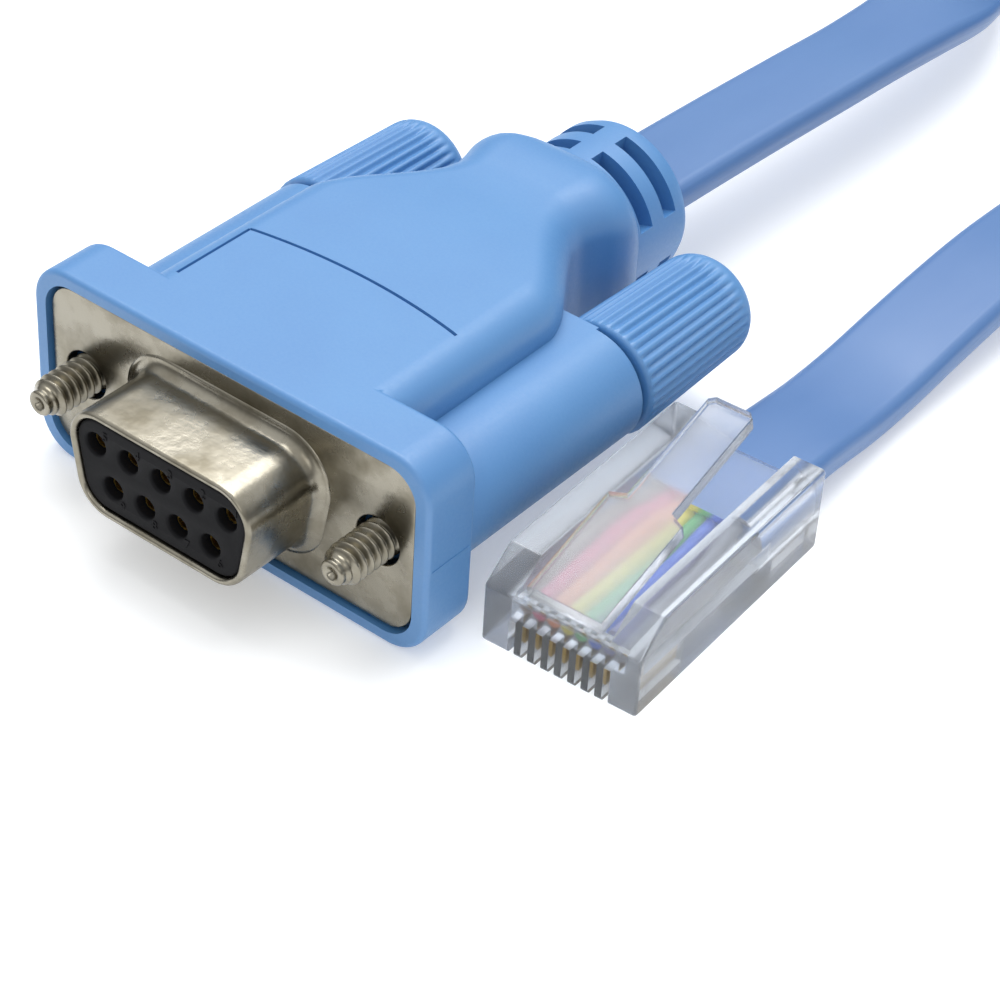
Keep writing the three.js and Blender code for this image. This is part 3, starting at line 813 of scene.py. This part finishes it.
class CONSOLECABLE_OT_front_shell(bpy.types.Operator):
    """Stamp the metal front: plate with two screw holes, and the D shell with its rolled lip"""

    bl_idname = "console_cable.front_shell"
    bl_label = "Metal front"

    def execute(self, context):
        plate_outline = rounded_outline(rectangle(*PLATE), PLATE_CORNER)
        hole = rounded_outline(d_corners(SHELL[0] - 1, SHELL[1] - 1), SHELL_CORNER - 0.5)
        outlines = [[(p.x, p.y) for p, _ in plate_outline], [(p.x, p.y) for p, _ in hole]]
        screw_hole, bevel = 1.75, 0.12
        outlines += [circle(screw_hole, x, 0, 48) for x in (-SCREW_X, SCREW_X)]
        plate = sheet(outlines, PLATE_BACK - PLATE_FRONT, bevel)
        plate.data.transform(
            Matrix.Translation((0, (PLATE_FRONT + PLATE_BACK) / 2, 0)) @ FACING
        )
        outline = rounded_outline(d_corners(*SHELL), SHELL_CORNER, 14)
        flare = 1.0
        profile = []
        for i in range(7):
            angle = math.pi / 2 * i / 6
            profile.append((PLATE_FRONT - flare + flare * math.cos(angle) - 0.02,
                            -flare + flare * math.sin(angle)))
        lip = 0.3
        for i in range(7):
            angle = math.pi * i / 6
            profile.append((lip - SHELL_REACH - lip * math.sin(angle),
                            SHELL_WALL / 2 * (1 - math.cos(angle))))
        profile += [(PLATE_BACK, SHELL_WALL), (PLATE_BACK, -0.2), (PLATE_FRONT + 0.3, -flare)]
        shell = working(loft([ring_at(outline, y, inset) for y, inset in profile], looped=True))
        steel = once("satin_nickel_plate", plated_steel)
        set_down(plate, "mating_plate", IN_HOOD, steel, replaced=["front_shell"],
                 sharp=35)
        set_down(shell, "d_shell", IN_HOOD, steel, replaced=["front_shell"])
        return {"FINISHED"}


def contact_places():
    """Contact axes, numbered from the wide row's right end as seen from the front."""
    places = []
    for row, count in enumerate((5, 4)):
        for i in range(count):
            x = ((count - 1) / 2 - i) * CONTACT_PITCH
            places.append((x, ROW_SPACING * (0.5 - row)))
    return places


class CONSOLECABLE_OT_insert(bpy.types.Operator):
    """Mould the black insert with its nine holes and small numerals, and plate the contacts"""

    bl_idname = "console_cable.insert"
    bl_label = "Insert and contacts"

    def execute(self, context):
        gap = 0.12
        face = rounded_outline(
            d_corners(SHELL[0] - 2 * (SHELL_WALL + gap), SHELL[1] - 2 * (SHELL_WALL + gap)),
            SHELL_CORNER - SHELL_WALL - gap,
        )
        outlines = [[(p.x, p.y) for p, _ in face]]
        outlines += [circle(0.8, x, z, 28) for x, z in contact_places()]
        front = sheet(outlines, INSERT_BACK - INSERT_FRONT, 0.22, 3)
        front.data.transform(
            Matrix.Translation((0, (INSERT_FRONT + INSERT_BACK) / 2, 0)) @ FACING
        )
        black = once("moulded_black_pbt", black_thermoplastic)
        set_down(front, "insert_face", IN_HOOD, black, replaced=["insert"],
                 sharp=40)
        for number, (x, z) in enumerate(contact_places(), start=1):
            self.numeral(number, x, z, black)
        gold = once("gold_flash", gold_flash)
        for number in range(1, 10):
            refinished(f"socket_contact_{number}", gold)
        return {"FINISHED"}

    def numeral(self, number, x, z, material):
        """Small raised number beside a hole."""
        text = bpy.data.curves.new("numeral", "FONT")
        text.body = str(number)
        text.size = 0.95
        text.extrude = 0.05
        text.align_x = "CENTER"
        text.align_y = "CENTER"
        made = meshed(text, "numeral")
        aside = 0.85
        above = 0.95 if z > 0 else -0.95
        made.data.transform(
            Matrix.Translation((x + aside, INSERT_FRONT, z + above)) @ FACING
        )
        set_down(made, f"numeral_{number}", IN_HOOD, material, sharp=30)


# Thumbscrews

def smooth_step(low, high, value):
    t = min(max((value - low) / (high - low), 0), 1)
    return t * t * (3 - 2 * t)


def knob_shape(x):
    """Fluted knob: the flutes run straight and fade out at both ends."""
    count, depth = sizes().flute_count, sizes().flute_depth
    front, back = KNOB_FRONT, KNOB_FRONT + KNOB_LENGTH
    base, tip, rounding = 4.2, 3.9, 1.6
    stations = [(front, base - 0.35), (front + 0.08, base - 0.12), (front + 0.25, base)]
    straight = back - rounding
    for i in range(1, 25):
        share = i / 24
        stations.append((front + 0.25 + (straight - front - 0.25) * share,
                         base + (tip - base) * share))
    for i in range(1, 9):
        angle = math.pi / 2 * i / 8
        stations.append((straight + rounding * math.sin(angle),
                         tip - rounding + rounding * math.cos(angle)))
    stations.append((back, 1.0))
    around = count * 10
    rings = []
    for y, radius in stations:
        fade = smooth_step(front + 0.15, front + 0.7, y)
        fade *= 1 - smooth_step(back - 2.6, back - 1.2, y)
        ring = []
        for i in range(around):
            angle = 2 * math.pi * i / around
            dip = (0.5 - 0.5 * math.cos(count * angle)) ** 1.6
            r = radius - depth * fade * dip
            ring.append((x + r * math.cos(angle), y, r * math.sin(angle)))
        rings.append(ring)
    return loft(rings)


def screw_shape(x):
    """Screw with a helical thread, a dog point with a dimple, and a plain shank."""
    pitch = sizes().thread_pitch
    tip, thread_start, thread_end, shank_end = -4.0, -3.3, 2.5, 31.9
    crest, root, point = 1.42, 1.04, 0.9
    around = 56
    heights = [tip + 0.15 + i * pitch / 16 for i in range(int((thread_end - tip) / pitch * 16))]
    dimple = [(0.25, tip + 0.45), (0.42, tip + 0.1), (0.62, tip), (point - 0.08, tip + 0.04)]
    rings = [[(x + px, y, pz) for px, pz in circle(r, 0, 0, around)] for r, y in dimple]
    for y in heights:
        ring = []
        for i in range(around):
            angle = 2 * math.pi * i / around
            phase = (y / pitch + i / around) % 1
            rise = min(max(1.35 * (1 - abs(2 * phase - 1)) - 0.15, 0), 1)
            grown = smooth_step(thread_start - 0.25, thread_start + 0.5, y)
            faded = 1 - smooth_step(thread_end - 0.5, thread_end, y)
            core = point + (root - point) * smooth_step(thread_start - 0.3, thread_start, y)
            r = core + (crest - root) * rise * grown * faded
            ring.append((x + r * math.cos(angle), y, r * math.sin(angle)))
        rings.append(ring)
    rings += [[(x + px, y, pz) for px, pz in circle(1.08, 0, 0, around)]
              for y in (thread_end + 0.2, shank_end)]
    return loft(rings)


class CONSOLECABLE_OT_thumbscrews(bpy.types.Operator):
    """Turn the two thumbscrews: fluted vinyl knobs on threaded nickel screws"""

    bl_idname = "console_cable.thumbscrews"
    bl_label = "Thumbscrews"

    def execute(self, context):
        vinyl = once("moulded_vinyl", moulded_vinyl)
        steel = once("satin_nickel_plate", plated_steel)
        for side, x in (("left", -SCREW_X), ("right", SCREW_X)):
            body = f"thumbscrew_{side}"
            set_down(working(knob_shape(x)), f"fluted_knob_{side}", IN_HOOD, vinyl, body,
                     [f"knob_{side}"], sharp=50)
            set_down(working(screw_shape(x)), f"jack_screw_{side}", IN_HOOD, steel, body,
                     [f"screw_{side}"], sharp=60)
        return {"FINISHED"}


# Cable

def hank_turns():
    """Turns of the hank, from the outermost straight on its left to the innermost on its right."""
    far = HANK_NEAR + HANK_RUN
    points = []
    radius = HANK_INNER + HANK_PITCH * (HANK_TURNS - 0.5)
    for turn in range(HANK_TURNS):
        for share in (0.02, 0.5, 0.98):
            points.append([HANK_X - radius, HANK_NEAR + HANK_RUN * share, ON_EDGE, 90])
        for i in range(1, 8):
            angle = math.pi * i / 8
            r = radius - HANK_PITCH / 2 * i / 8
            points.append([HANK_X - r * math.cos(angle), far + r * math.sin(angle), ON_EDGE, 90])
        radius -= HANK_PITCH / 2
        if turn == HANK_TURNS - 1:
            points.append([HANK_X + radius, far - HANK_RUN * 0.02, ON_EDGE, 90])
            break
        for share in (0.98, 0.5, 0.02):
            points.append([HANK_X + radius, HANK_NEAR + HANK_RUN * share, ON_EDGE, 90])
        for i in range(1, 8):
            angle = math.pi * i / 8
            r = radius - HANK_PITCH / 2 * i / 8
            points.append([
                HANK_X + r * math.cos(angle), HANK_NEAR - r * math.sin(angle), ON_EDGE, 90])
        radius -= HANK_PITCH / 2
    return points


def smooth_route(points, step=1.2):
    """Centripetal Catmull-Rom line through the points, sampled about every step."""
    ends = [2 * Vector(points[0]) - Vector(points[1])]
    line = ends + [Vector(p) for p in points] + [2 * Vector(points[-1]) - Vector(points[-2])]
    route = []
    for a, b, c, d in zip(line, line[1:], line[2:], line[3:]):
        spans = [max((q.xyz - p.xyz).length ** 0.5, 1e-4) for p, q in ((a, b), (b, c), (c, d))]
        t0, t1 = 0.0, spans[0]
        t2 = t1 + spans[1]
        t3 = t2 + spans[2]
        count = max(1, round((c.xyz - b.xyz).length / step))
        for i in range(count):
            t = t1 + (t2 - t1) * i / count
            ab = a.lerp(b, (t - t0) / (t1 - t0))
            bc = b.lerp(c, (t - t1) / (t2 - t1))
            cd = c.lerp(d, (t - t2) / (t3 - t2))
            abc = ab.lerp(bc, (t - t0) / (t2 - t0))
            bcd = bc.lerp(cd, (t - t1) / (t3 - t1))
            route.append(abc.lerp(bcd, (t - t1) / (t2 - t1)))
    route.append(line[-2])
    return route


def cable_section():
    """Flat jacket seen end on: nearly flat faces and round edges."""
    outline = rounded_outline(rectangle(CABLE_WIDTH, CABLE_THICKNESS), 1.0, 6)
    return [(p.x, p.y) for p, _ in outline]


def cable_shape():
    """Jacket swept along the route, its width turned as the points say."""
    points = [[0, BOOT_END - HOOD_MIDDLE - 1.5, HOOD_HALF, 0]]
    points += HOOD_STRETCH + hank_turns() + INSIDE_HANK + PLUG_STRETCH
    route = smooth_route(points)
    section = cable_section()
    rings, along, run = [], [], 0.0
    up = Vector((0, 0, 1))
    for i, place in enumerate(route):
        ahead = route[min(i + 1, len(route) - 1)].xyz - route[max(i - 1, 0)].xyz
        tangent = ahead.normalized()
        width = tangent.cross(up).normalized()
        width.rotate(Matrix.Rotation(math.radians(place.w), 3, tangent))
        thick = tangent.cross(width)
        rings.append([place.xyz + width * x + thick * y for x, y in section])
        if i:
            run += (place.xyz - route[i - 1].xyz).length
        along.append(run)
    return route, rings, along


class CONSOLECABLE_OT_cable(bpy.types.Operator):
    """Draw the flat cable along its whole route, from the strain relief to the plug"""

    bl_idname = "console_cable.cable"
    bl_label = "Flat cable"

    def execute(self, context):
        route, rings, along = cable_shape()
        cable = working(loft(rings))
        count = len(rings[0])
        layer = cable.data.uv_layers.new(name="jacket")
        for loop in cable.data.loops:
            ring, place = divmod(loop.vertex_index, count)
            layer.data[loop.index].uv = (place / count * 20 * MM, along[ring] * MM)
        set_down(cable, "flat_cable", IN_ROW, once("extruded_vinyl", extruded_vinyl),
                 replaced=["cable_from_hood", "cable_to_plug", "cable_hank"],
                 sharp=60)
        on_cable = [o for o in bpy.data.objects if o.name in ON_CABLE]
        on_cable += [frame["nodes"][f"contact_blade_{i + 1}"] for i in range(WIRES)]
        return {"FINISHED"}


ON_CABLE = ["plug_moulding", "latch_tab", "hank_strap"] + [f"wire_{i + 1}" for i in range(WIRES)]


class CONSOLECABLE_OT_hank_strap(bpy.types.Operator):
    """Close a woven strap round the hank"""

    bl_idname = "console_cable.hank_strap"
    bl_label = "Hank strap"

    def execute(self, context):
        half = HANK_INNER + HANK_PITCH * HANK_TURNS + 0.3
        low, high = TIE_THICKNESS, HANK_TOP + 0.3
        centre_z = (low + high) / 2
        loop = rounded_outline(rectangle(2 * half, high - low), 0.9, 6)
        middle = HANK_NEAR + HANK_RUN / 2
        edge, inside, side = 0.3, 0.05, TIE_WIDTH / 2
        section = [
            (-side, edge), (edge - side, inside), (side - edge, inside), (side, edge),
            (side, TIE_THICKNESS - edge), (side - edge, TIE_THICKNESS),
            (edge - side, TIE_THICKNESS), (-side, TIE_THICKNESS - edge),
        ]
        rings = [
            [(HANK_X + p.x + n.x * out, middle + y, centre_z + p.y + n.y * out)
             for y, out in section]
            for p, n in loop
        ]
        strap = working(loft(rings, looped=True))
        set_down(strap, "hank_strap", IN_ROW, once("woven_nylon", woven_strap),
                 replaced=["hank_tie"], sharp=40)
        return {"FINISHED"}


# Modular plug

def wire_x(i):
    return (i - (WIRES - 1) / 2) * WIRE_PITCH


# A sheet's X, Y and Z become the plug's Y, Z and X
SIDEWAYS = Matrix(((0, 0, 1, 0), (1, 0, 0, 0), (0, 1, 0, 0), (0, 0, 0, 1)))


class CONSOLECABLE_OT_plug(bpy.types.Operator):
    """Mould the clear plug body with its channel, wire chamber, comb and cable mouth"""

    bl_idname = "console_cable.plug"
    bl_label = "Plug body"

    def execute(self, context):
        corners = [(0, 0), (PLUG_LENGTH, 0), (PLUG_LENGTH, PLUG_HEIGHT),
                   (NOSE_RISE, PLUG_HEIGHT), (0, NOSE_HEIGHT)]
        profile = [(p.x, p.y) for p, _ in rounded_outline(corners, 0.35, 5)]
        body = sheet([profile], PLUG_WIDTH, 0.25, 3)
        body.data.transform(SIDEWAYS)
        top = PLUG_HEIGHT + 2
        half = CHANNEL_WIDTH / 2
        cut(body, block((-half, half), (-1, PLUG_LENGTH + 1), (CHANNEL_FLOOR, top)))
        chamber = WIRES * WIRE_PITCH / 2 + CHAMBER_SIDE
        chamber_back = PLUG_LENGTH - JACKET_IN_PLUG - MOUTH_GAP
        cut(body, block((-chamber, chamber), (CHAMBER_FRONT, chamber_back + 1),
                        (CABLE_IN_PLUG - CHAMBER_HALF, CABLE_IN_PLUG + CHAMBER_HALF)))
        size = [side + 2 * MOUTH_GAP for side in (CABLE_WIDTH, CABLE_THICKNESS)]
        mouth = rounded_outline(rectangle(*size), MOUTH_CORNER, 5)
        shifted = [(p + Vector((0, CABLE_IN_PLUG)), n) for p, n in mouth]
        cut(body, loft([ring_at(shifted, y) for y in (chamber_back, PLUG_LENGTH + 1)]))
        cut(body, block(*CLAMP_POCKET))
        for i in range(WIRES):
            slot = (wire_x(i) - BLADE_SLOT / 2, wire_x(i) + BLADE_SLOT / 2)
            cut(body, block(slot, (-1, COMB_BACK), (-1, CABLE_IN_PLUG)))
        set_down(body, "plug_moulding", IN_PLUG, once("clear_polycarbonate", clear_polycarbonate),
                 replaced=["plug_body"], sharp=30)
        gold = once("gold_flash", gold_flash)
        for i in range(WIRES):
            refinished(f"contact_blade_{i + 1}", gold)
        return {"FINISHED"}


class CONSOLECABLE_OT_wires(bpy.types.Operator):
    """Fan the eight insulated conductors from the jacket to the contacts"""

    bl_idname = "console_cable.wires"
    bl_label = "Conductors"

    def execute(self, context):
        front, back, steps = 2.2, PLUG_LENGTH - JACKET_IN_PLUG + 0.2, 24
        for i in range(WIRES):
            rings = []
            for k in range(steps + 1):
                share = k / steps
                y = back + (front - back) * share
                spread = smooth_step(0, 0.45, share)
                x = wire_x(i) * (0.84 + 0.16 * spread)
                lift = 0.08 * noise.noise(Vector((i * 3.1, share * 3, 0)))
                sway = 0.05 * noise.noise(Vector((i * 1.7, share * 4, 5)))
                ring = [(x + sway + px, y, CABLE_IN_PLUG + lift + pz)
                        for px, pz in circle(WIRE_RADIUS, 0, 0, 20)]
                rings.append(ring)
            set_down(working(loft(rings)), f"wire_{i + 1}", IN_PLUG, wire_insulation(i),
                     replaced=[f"conductor_{i + 1}"], sharp=50)
        return {"FINISHED"}


class CONSOLECABLE_OT_latch(bpy.types.Operator):
    """Mould the latch: wide root, locking shoulders and finger tab"""

    bl_idname = "console_cable.latch"
    bl_label = "Latch"

    def execute(self, context):
        root, tab, step, end = 2.8, 1.7, 8.2, 18.3
        outline = [
            (-root, -0.7), (root, -0.7), (root, step), (tab, step + 0.5), (tab, end - 0.4),
            (tab - 0.4, end), (0.4 - tab, end), (-tab, end - 0.4), (-tab, step + 0.5),
            (-root, step),
        ]
        latch = sheet([outline], LATCH_THICKNESS, 0.15, 2)
        latch.data.transform(LATCH_HINGE @ Matrix.Translation((0, 0, LATCH_THICKNESS / 2)))
        set_down(latch, "latch_tab", IN_PLUG, once("clear_polycarbonate", clear_polycarbonate),
                 "latch", ["latch"], sharp=30)
        return {"FINISHED"}


# Stage: camera position, the way it looks and its lens, found from the photograph's perspective
CAMERA_PLACE = (0.101807, -0.126317, 0.123937)
CAMERA_AZIMUTH = 0.635966
CAMERA_ELEVATION = 0.675917
CAMERA_ROLL = 0.066975
CAMERA_LENS = 107.25


def camera_matrix():
    a, e, roll = CAMERA_AZIMUTH, CAMERA_ELEVATION, CAMERA_ROLL
    back = Vector((math.sin(a) * math.cos(e), -math.cos(a) * math.cos(e), math.sin(e)))
    level = Vector((math.cos(a), math.sin(a), 0))
    rise = back.cross(level)
    right = level * math.cos(roll) + rise * math.sin(roll)
    up = rise * math.cos(roll) - level * math.sin(roll)
    turn = Matrix((right, up, back)).transposed().to_4x4()
    return Matrix.Translation(CAMERA_PLACE) @ turn


def soft_light(name, place, target, size, power):
    """Square soft box aimed at a point."""
    data = bpy.data.lights.new(name, "AREA")
    data.shape = "SQUARE"
    data.size = size
    data.energy = power
    light = linked(name, data)
    light.location = place
    light.rotation_euler = (Vector(target) - Vector(place)).to_track_quat("-Z", "Y").to_euler()
    return light


def studio_world():
    """White dome that dims towards the horizon, so that metal has something dark to reflect."""
    world = bpy.data.worlds.new("studio")
    world.use_nodes = True
    tree = world.node_tree
    direction = add_node(tree, "ShaderNodeTexCoord").outputs["Generated"]
    height = add_node(tree, "ShaderNodeSeparateXYZ", {"Vector": direction}).outputs["Z"]
    level = add_node(tree, "ShaderNodeMapRange", {
        "Value": height, "From Min": 0.0, "From Max": 0.75, "To Min": 0.13, "To Max": 1.0},
        interpolation_type="SMOOTHSTEP")
    background = tree.nodes["Background"]
    background.inputs["Color"].default_value = (0.97, 0.985, 1.0, 1)
    tree.links.new(level.outputs["Result"], background.inputs["Strength"])
    return world


class CONSOLECABLE_OT_stage(bpy.types.Operator):
    """Set the camera, the pale floor and the soft studio light"""

    bl_idname = "console_cable.stage"
    bl_label = "Stage"

    def execute(self, context):
        scene = context.scene
        data = bpy.data.cameras.new("camera")
        data.lens = CAMERA_LENS
        data.sensor_width = 36
        data.clip_start = 0.01
        data.clip_end = 20
        camera = linked("camera", data)
        camera.matrix_world = camera_matrix()
        scene.camera = camera

        mesh = bpy.data.meshes.new("floor")
        reach = 4
        corners = [(-reach, -reach, 0), (reach, -reach, 0), (reach, reach, 0), (-reach, reach, 0)]
        mesh.from_pydata(corners, [], [(0, 1, 2, 3)])
        floor = linked("floor", mesh)
        floor.location.z = -0.00002
        material, tree, output = new_material("white_paper")
        surface = add_node(tree, "ShaderNodeBsdfPrincipled", {
            "Base Color": [*colours().floor, 1], "Roughness": 0.9,
            "Specular IOR Level": 0.1, "Emission Color": linear("#FFFFFF"),
            "Emission Strength": 0.3})
        tree.links.new(surface.outputs["BSDF"], output.inputs["Surface"])
        mesh.materials.append(material)

        scene.world = studio_world()
        scene.view_settings.view_transform = "Standard"
        soft_light("overhead", (-0.10, 0.15, 0.55), (0, 0, 0), 0.45, 2.6)
        soft_light("front", (0.30, -0.5, 0.30), (0, 0, 0.005), 0.2, 0.35)
        return {"FINISHED"}


OPERATORS = [
    CONSOLECABLE_OT_hood,
    CONSOLECABLE_OT_front_shell,
    CONSOLECABLE_OT_insert,
    CONSOLECABLE_OT_thumbscrews,
    CONSOLECABLE_OT_plug,
    CONSOLECABLE_OT_wires,
    CONSOLECABLE_OT_latch,
    CONSOLECABLE_OT_hank_strap,
    CONSOLECABLE_OT_cable,
    CONSOLECABLE_OT_stage,
]


class CONSOLECABLE_PT_panel(bpy.types.Panel):
    """Sizes, colours and pieces of the console cable"""

    bl_idname = "CONSOLECABLE_PT_panel"
    bl_label = "Console Cable"
    bl_space_type = "VIEW_3D"
    bl_region_type = "UI"
    bl_category = "Console Cable"

    def draw(self, context):
        layout = self.layout
        for group in (context.scene.console_cable_sizes, context.scene.console_cable_colours):
            for name in group.__annotations__:
                layout.prop(group, name)
        for operator in OPERATORS:
            layout.operator(operator.bl_idname)


CLASSES = [ConsoleCableSizes, ConsoleCableColours, *OPERATORS, CONSOLECABLE_PT_panel]


def register():
    for cls in CLASSES:
        bpy.utils.register_class(cls)
    bpy.types.Scene.console_cable_sizes = PointerProperty(type=ConsoleCableSizes)
    bpy.types.Scene.console_cable_colours = PointerProperty(type=ConsoleCableColours)


def unregister():
    del bpy.types.Scene.console_cable_colours
    del bpy.types.Scene.console_cable_sizes
    for cls in reversed(CLASSES):
        bpy.utils.unregister_class(cls)


def main():
    register()
    bpy.ops.console_cable.hood()
    bpy.ops.console_cable.front_shell()
    bpy.ops.console_cable.insert()
    bpy.ops.console_cable.thumbscrews()
    bpy.ops.console_cable.plug()
    bpy.ops.console_cable.wires()
    bpy.ops.console_cable.latch()
    bpy.ops.console_cable.hank_strap()
    bpy.ops.console_cable.cable()
    bpy.ops.console_cable.stage()


if __name__ == "__main__":
    main()
